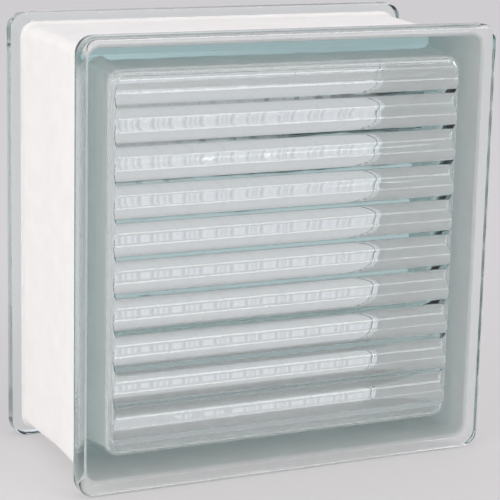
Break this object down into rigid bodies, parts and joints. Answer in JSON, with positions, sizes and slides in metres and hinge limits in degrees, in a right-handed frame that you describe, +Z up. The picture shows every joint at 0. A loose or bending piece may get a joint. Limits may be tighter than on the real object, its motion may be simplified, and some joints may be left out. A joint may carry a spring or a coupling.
{
  "type": "glass block",
  "caption": "Hollow square glass block with clear flanges, fluted inner faces set crosswise and a white-coated mortar recess round its edges.",
  "frame": {"origin": "middle of the footprint, on the floor that the bottom flanges stand on", "axes": "+X to the right along the width, +Y through the thickness from the front face to the back face, +Z up; the front face, with its level flutes, looks towards -Y"},
  "size_m": [0.1968, 0.0984, 0.1969],
  "materials": {
    "glass": "clear, fire-polished pressed glass with a slight green tint",
    "coating": "matt, slightly warm white"
  },
  "bodies": {
    "root": {"front_shell": "glass", "back_shell": "glass", "edge_coating": "coating"}
  },
  "joints": []
}
